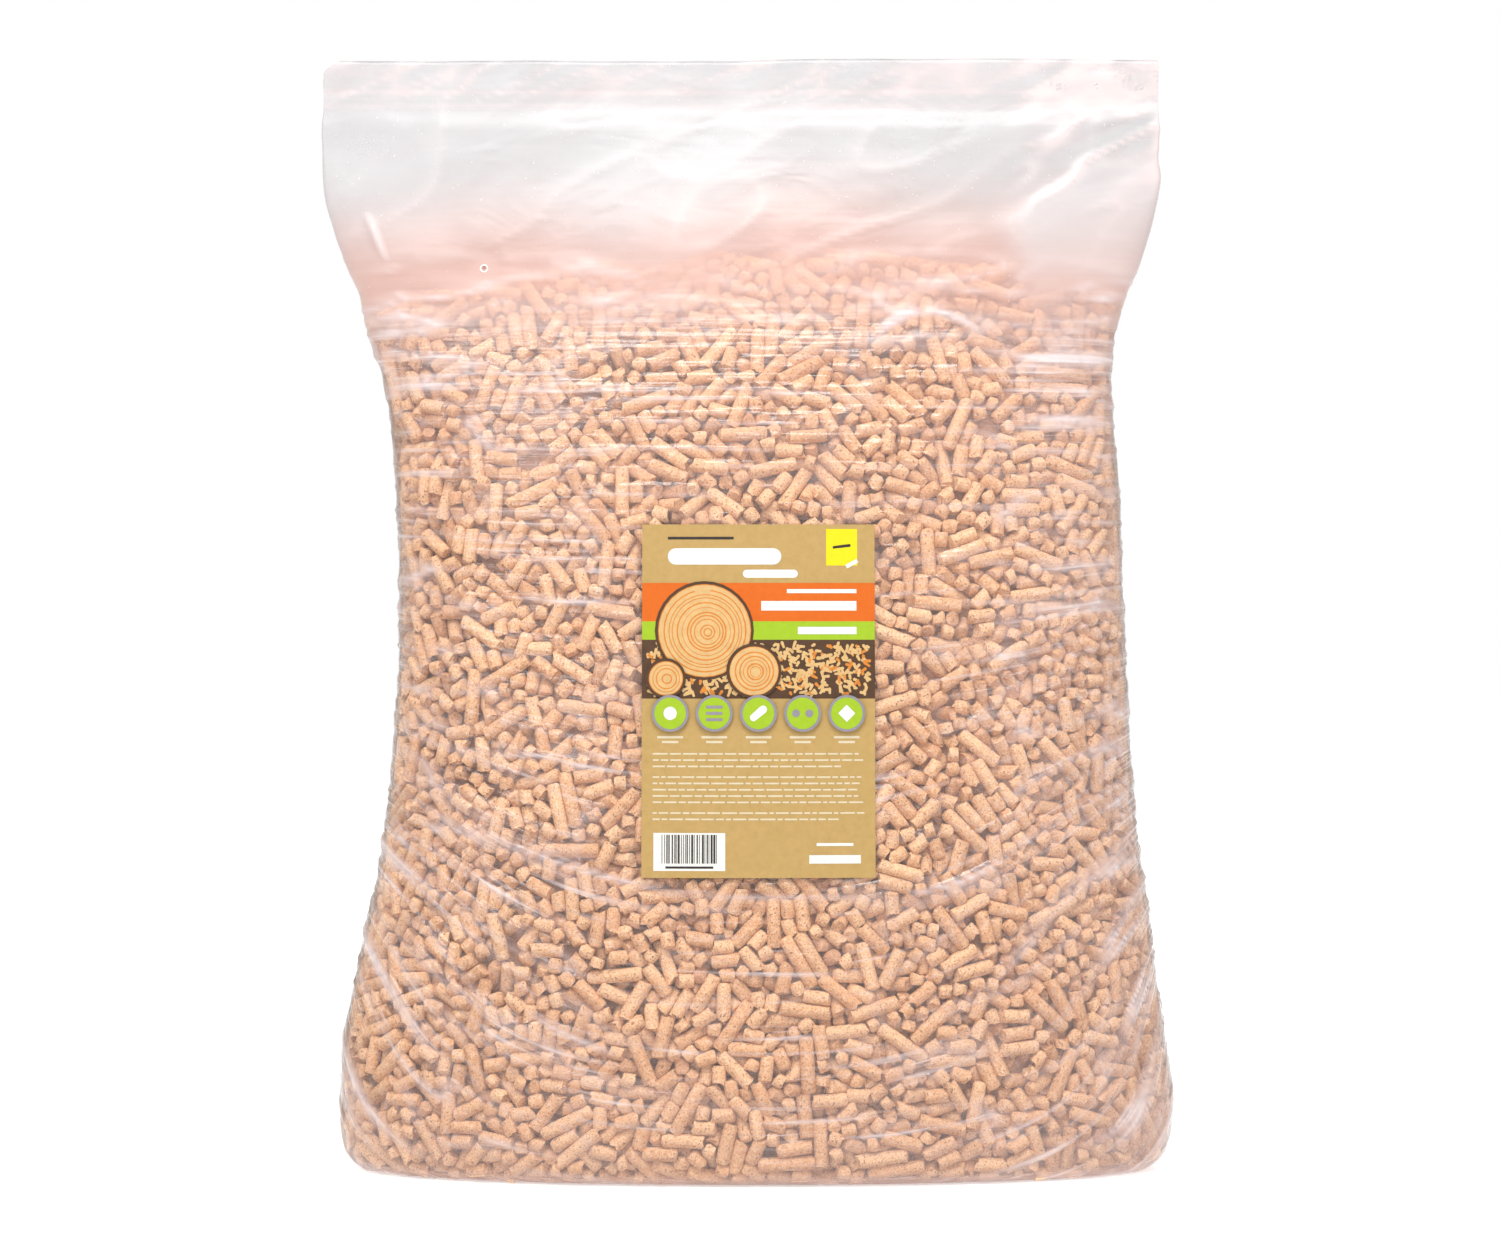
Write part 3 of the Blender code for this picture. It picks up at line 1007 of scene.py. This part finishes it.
def make_film(clear):
    """The film bag: a tube drawn over its fill, creased, and welded flat at the mouth."""
    sheet = FilmSheet()
    rows, columns = sheet.z.shape
    grid = bmesh.new()
    bmesh.ops.create_grid(grid, x_segments=columns - 1, y_segments=rows - 1, size=0.5)
    mesh = mesh_from(grid, "film")
    places = np.empty(len(mesh.vertices) * 3)
    mesh.vertices.foreach_get("co", places)
    places = places.reshape(-1, 3)
    column = np.round((places[:, 0] + 0.5) * (columns - 1)).astype(int)
    row = np.round((places[:, 1] + 0.5) * (rows - 1)).astype(int)
    mesh.vertices.foreach_set("co", sheet.points()[row, column].ravel())
    patterns = {
        "crease": sheet.crease(),
        "veil": sheet.veil(),
        "dust": sheet.dust(),
        "taut": sheet.taut(),
        "flow": sheet.flow(),
    }
    for name, values in patterns.items():
        give_values(mesh, name, values[row, column])

    tube = bmesh.new()
    tube.from_mesh(mesh)
    bmesh.ops.remove_doubles(tube, verts=tube.verts[:], dist=0.001 * MM)
    mouth = [edge for edge in tube.edges if edge.is_boundary]
    bmesh.ops.contextual_create(tube, geom=mouth)
    vent = Vector((VENT_X, front_of(VENT_X, VENT_Z), VENT_Z))
    punched = [face for face in tube.faces if (face.calc_center_median() - vent).length < VENT_RADIUS]
    bmesh.ops.delete(tube, geom=punched, context="FACES")
    bmesh.ops.recalc_face_normals(tube, faces=tube.faces[:])
    tube.to_mesh(mesh)
    tube.free()
    mesh.shade_smooth()
    film = add_piece("film", mesh, clear, "clear_film", "film_bag")
    film.visible_shadow = False


# ---- Label ----

# Places on the label are in millimetres from its lower left corner.
LABEL_OFF = 0.35 * MM  # how far the label's back lies off the film
PAPER = 0.2 * MM
LABEL_WIDTH = (label_high.x - label_low.x) / MM
LABEL_HEIGHT = (label_high.z - label_low.z) / MM
LAYER_OF_INK = 0.09 * MM
BADGE_SIGN = 24  # the topmost layer of ink

# Each ink's colour, and its colour where it is thin.
INKS = {
    "kraft": ((0.39, 0.255, 0.092), (0.34, 0.22, 0.074)),
    "yellow": ((0.64, 0.53, 0.005), (0.60, 0.49, 0.004)),
    "orange": ((0.52, 0.105, 0.006), (0.48, 0.092, 0.005)),
    "green": ((0.265, 0.395, 0.014), (0.24, 0.36, 0.012)),
    "white": ((0.62, 0.61, 0.58), (0.57, 0.56, 0.52)),
    "cream": ((0.55, 0.475, 0.33), (0.50, 0.42, 0.28)),
    "grey": ((0.225, 0.205, 0.235), (0.19, 0.175, 0.20)),
    "dark": ((0.03, 0.023, 0.02), (0.02, 0.016, 0.013)),
    "bark": ((0.07, 0.033, 0.015), (0.05, 0.024, 0.011)),
    "amber": ((0.52, 0.19, 0.03), (0.44, 0.145, 0.022)),
    "straw": ((0.54, 0.36, 0.16), (0.46, 0.28, 0.11)),
}

label_wave = make_ripples(SEED + 6)


def on_label(across, up, lift):
    """The point on the label at millimetres across and up, lift metres in front of its back."""
    x, z = label_low.x + across * MM, label_low.z + up * MM
    wave = label_wave(across / 34, up / 30) * 0.5 * MM
    from_edge = min(across, LABEL_WIDTH - across, up, LABEL_HEIGHT - up)
    curl = 0.5 * MM * max(1 - from_edge / 7, 0) ** 2 * label_wave(across / 15 + 9, up / 18)
    return Vector((x, float(front_of(x, z)) - LABEL_OFF - lift - wave - curl, z))


class Ink:
    """Flat shapes of one colour, laid on the label."""

    def __init__(self):
        self.work = bmesh.new()

    def place(self, verts, across, up, turn, layer):
        spin = Matrix.Rotation(turn, 4, "Z")
        move = Matrix.Translation((across, up, layer))
        bmesh.ops.transform(self.work, matrix=move @ spin, verts=verts)

    def bar(self, across, up, width, height, turn=0.0, layer=1):
        """A rectangle about its middle."""
        columns, rows = max(int(width / 5), 1), max(int(height / 5), 1)
        made = bmesh.ops.create_grid(self.work, x_segments=columns, y_segments=rows, size=0.5)
        bmesh.ops.scale(self.work, vec=(width, height, 1), verts=made["verts"])
        self.place(made["verts"], across, up, turn, layer)

    def disc(self, across, up, radius, layer=1, segments=32):
        made = bmesh.ops.create_circle(
            self.work, cap_ends=True, cap_tris=True, segments=segments, radius=radius
        )
        self.place(made["verts"], across, up, 0.0, layer)

    def long_capsule(self, across, up, width, height, layer=1):
        """A level bar with round ends, long enough to need bending over the bag."""
        reach = (width - height) / 2
        self.bar(across, up, 2 * reach, height, layer=layer)
        for end in (-reach, reach):
            self.disc(across + end, up, height / 2, layer, 24)

    def capsule(self, across, up, width, height, turn=0.0, layer=1, segments=12):
        """A bar with round ends."""
        made = bmesh.ops.create_circle(self.work, cap_ends=True, segments=segments, radius=height / 2)
        for vert in made["verts"]:
            vert.co.x += math.copysign((width - height) / 2, vert.co.x)
        self.place(made["verts"], across, up, turn, layer)

    def print_on_label(self, name, material):
        flipped = [face for face in self.work.faces if face.normal.z < 0]
        bmesh.ops.reverse_faces(self.work, faces=flipped)
        for vert in self.work.verts:
            across, up, layer = vert.co
            vert.co = on_label(across, up, PAPER + layer * LAYER_OF_INK)
        add_piece(name, mesh_from(self.work, name), material, "label_paper", "front_label")


def lines_of_words(ink, draw, left, right, tops, height):
    """Rows of short bars, where small print would be."""
    for row in tops:
        across = left
        row_end = right - draw.uniform(0, 14) if row == tops[-1] else right
        while across < row_end - 3:
            width = min(draw.uniform(2.2, 8.5), row_end - across)
            ink.bar(across + width / 2, row, width, height)
            across += width + 1.1


def make_label_sheet(material):
    """The paper under the inks."""
    sheet = bmesh.new()
    bmesh.ops.create_grid(sheet, x_segments=42, y_segments=64, size=0.5)
    grown = bmesh.ops.extrude_face_region(sheet, geom=sheet.faces[:])
    front = {item for item in grown["geom"] if isinstance(item, bmesh.types.BMVert)}
    for vert in sheet.verts:
        across, up = (vert.co.x + 0.5) * LABEL_WIDTH, (vert.co.y + 0.5) * LABEL_HEIGHT
        vert.co = on_label(across, up, PAPER if vert in front else 0.0)
    bmesh.ops.recalc_face_normals(sheet, faces=sheet.faces[:])
    add_piece("label_sheet", mesh_from(sheet, "label_sheet"), material, "label_paper", "front_label")


def badge_sign(inks, which, across, up):
    """The plain sign on one of the badges."""
    if which == 0:
        inks["white"].disc(across, up, 3.6, BADGE_SIGN)
    elif which == 1:
        for step in (-3.4, 0, 3.4):
            inks["grey"].bar(across, up + step, 9, 1.6, layer=BADGE_SIGN)
    elif which == 2:
        inks["white"].capsule(across, up, 11, 4.4, turn=0.7, layer=BADGE_SIGN)
    elif which == 3:
        for step in (-3.6, 3.6):
            inks["grey"].disc(across + step, up, 2.1, BADGE_SIGN)
    else:
        inks["white"].bar(across, up, 6.6, 6.6, turn=math.pi / 4, layer=BADGE_SIGN)


def make_label():
    """A kraft label with bands of colour, log slices, badges and rows of blank print."""
    draw = np.random.default_rng(SEED + 7)
    width, height = LABEL_WIDTH, LABEL_HEIGHT
    print_group = uneven_print()
    make_label_sheet(printed_paper("label_kraft", print_group, *INKS["kraft"]))
    inks = {name: Ink() for name in INKS if name != "kraft"}

    # Bands across the label, and the picture of pellets under them.
    inks["orange"].bar(width / 2, 149.5, width, 21)
    inks["green"].bar(width / 2, 134, width, 10)
    inks["bark"].bar(width / 2, 113, width, 32)
    for _ in range(520):
        across, up = draw.uniform(2.8, width - 2.8), draw.uniform(99.5, 126.5)
        ink = inks["straw"] if draw.random() < 0.8 else inks["amber"]
        layer = draw.uniform(1.6, 2.6)
        ink.capsule(across, up, draw.uniform(2.4, 5.0), 1.7, draw.uniform(0, math.pi), layer, 8)

    # The tab at the top right, with its corner turned up.
    inks["yellow"].bar(width - 18, height - 12.5, 17, 20)
    inks["white"].bar(width - 12.5, height - 21.5, 7, 2.2, turn=0.5, layer=2)
    inks["dark"].capsule(width - 18, height - 12, 10, 1.6, turn=0.12, layer=2)

    # Blank title bars.
    inks["white"].long_capsule(45, height - 17.5, 62, 9)
    inks["white"].long_capsule(70, height - 27.0, 30, 4.5)
    inks["dark"].bar(32, height - 7.5, 36, 1.5)
    inks["white"].bar(98, 155.5, 38, 2.2, layer=2)
    inks["white"].bar(91, 147.5, 52, 5.2, layer=2)
    inks["white"].bar(101, 134, 32, 4.0, layer=2)

    # Sawn log slices on the left.
    for across, up, radius, bottom in ((34, 134, 27, 3), (61, 112, 15, 12), (13, 108, 11, 12)):
        inks["bark"].disc(across, up, radius, layer=bottom)
        ring, layer = radius - 1.6, bottom + 1
        while ring > 1.2:
            drift = (radius - ring) * 0.08
            inks["amber"].disc(across + drift, up - drift / 2, ring, layer)
            inks["straw"].disc(across + drift, up - drift / 2, ring - draw.uniform(0.35, 0.9), layer + 0.3)
            ring -= draw.uniform(1.4, 3.1)
            layer += 0.6

    # Five badges, each with a plain sign.
    for k in range(5):
        across, up = 15.5 + k * 24, 89
        inks["grey"].disc(across, up, 10, layer=BADGE_SIGN - 2)
        inks["green"].disc(across, up, 8.6, layer=BADGE_SIGN - 1)
        badge_sign(inks, k, across, up)
        inks["cream"].bar(across, 76, 14, 1.3)
        inks["cream"].bar(across, 73.4, 9, 1.3)

    # Rows of blank small print.
    lines_of_words(inks["cream"], draw, 6, width - 6, (67, 63.6, 60.2), 0.95)
    lines_of_words(inks["cream"], draw, 6, width - 6, (54.4, 51, 47.6, 44.2, 40.8), 0.95)
    lines_of_words(inks["cream"], draw, 6, width - 6, (35, 31.6), 0.95)
    inks["white"].bar(width - 22, 10, 28, 4.6)
    inks["white"].bar(width - 22, 18, 20, 1.6)

    # The panel of plain stripes at the lower left.
    inks["white"].bar(26, 14, 39, 20.5)
    across = 11.0
    while across < 41:
        stripe = draw.choice((0.35, 0.7, 1.05))
        inks["dark"].bar(across + stripe / 2, 15.5, stripe, 15.5, layer=2)
        across += stripe + draw.choice((0.4, 0.75, 1.1))
    inks["dark"].bar(26, 5.6, 26, 1.2, layer=2)

    for name, ink in inks.items():
        ink.print_on_label("label_" + name, printed_paper("ink_" + name, print_group, *INKS[name]))


def make_vent(material):
    """The turned-over edge of the punched vent."""
    vent = bmesh.new()
    profile = bmesh.ops.create_circle(vent, segments=8, radius=0.35 * MM)["verts"]
    bmesh.ops.rotate(vent, verts=profile, matrix=Matrix.Rotation(math.pi / 2, 3, "X"))
    bmesh.ops.translate(vent, verts=profile, vec=(VENT_RADIUS + 0.5 * MM, 0, 0))
    bmesh.ops.spin(
        vent,
        geom=vent.verts[:] + vent.edges[:],
        axis=(0, 0, 1),
        cent=(0, 0, 0),
        angle=math.tau,
        steps=24,
        use_merge=True,
    )
    bmesh.ops.remove_doubles(vent, verts=vent.verts[:], dist=0.001 * MM)
    bmesh.ops.recalc_face_normals(vent, faces=vent.faces[:])
    here = Vector((VENT_X, float(front_of(VENT_X, VENT_Z)), VENT_Z))
    lean = math.atan2(float(front_of(VENT_X, VENT_Z + MM) - front_of(VENT_X, VENT_Z)), MM)
    turn = Matrix.Rotation(math.pi / 2 - lean, 4, "X")
    bmesh.ops.transform(vent, matrix=Matrix.Translation(here) @ turn, verts=vent.verts[:])
    mesh = mesh_from(vent, "vent_rim")
    mesh.shade_smooth()
    add_piece("vent_rim", mesh, material, "clear_film", "film_bag")


# ---- Stage ----

WORLD_LIGHT = 0.57  # how bright the white surroundings are as a light
# Each lamp's name, place, width and watts.
LAMPS = (
    ("key", (-1.5, -2.2, 1.9), 1.4, 26.0),
    ("fill", (1.9, -1.9, 1.2), 1.4, 12.0),
    ("top", (0.0, -1.1, 2.1), 1.2, 35.0),
    ("back", (0.4, 2.2, 1.8), 1.4, 16.0),
)


def make_world():
    """White surroundings, which are dimmer as a light than where they are seen or mirrored."""
    world = bpy.data.worlds.new("studio")
    world.use_nodes = True
    sky = Nodes(world.node_tree)
    ray = sky.add("ShaderNodeLightPath").outputs
    seen = sky.math("MAXIMUM", ray["Is Camera Ray"], ray["Is Glossy Ray"])
    background = world.node_tree.nodes["Background"]
    sky.set(background, "Color", rgb(1.0, 1.0, 1.0))
    sky.set(background, "Strength", sky.span(seen, 0.0, 1.0, WORLD_LIGHT, 1.0))
    bpy.context.scene.world = world


def make_stage():
    """The floor, the surroundings, the lamps and the camera."""
    disc = bmesh.new()
    bmesh.ops.create_circle(disc, cap_ends=True, segments=96, radius=14.0)
    floor = link("floor", mesh_from(disc, "floor"))
    floor.data.materials.append(floor_paint())
    make_world()

    for name, place, size, watts in LAMPS:
        lamp = bpy.data.lights.new(name, "AREA")
        lamp.shape = "RECTANGLE"
        lamp.size = size
        lamp.size_y = size * 0.7
        lamp.energy = watts
        holder = link(name, lamp)
        holder.location = place
        aim = Vector((0, 0, 0.3)) - Vector(place)
        holder.rotation_euler = aim.to_track_quat("-Z", "Y").to_euler()

    camera = bpy.data.cameras.new("camera")
    camera.sensor_fit = "HORIZONTAL"
    camera.sensor_width = 36.0
    camera.lens = 85.07
    stand = link("camera", camera)
    stand.location = (0.0014, -2.0, 0.306)
    stand.rotation_euler = (math.radians(90), 0, 0)
    bpy.context.scene.camera = stand
    bpy.context.scene.view_settings.view_transform = "Standard"


make_pellets(pellet_wood())
make_core(core_painted_shade())
make_sawdust(pellet_wood())
make_film(clear_film())
make_vent(milky_film())
make_label()
make_stage()
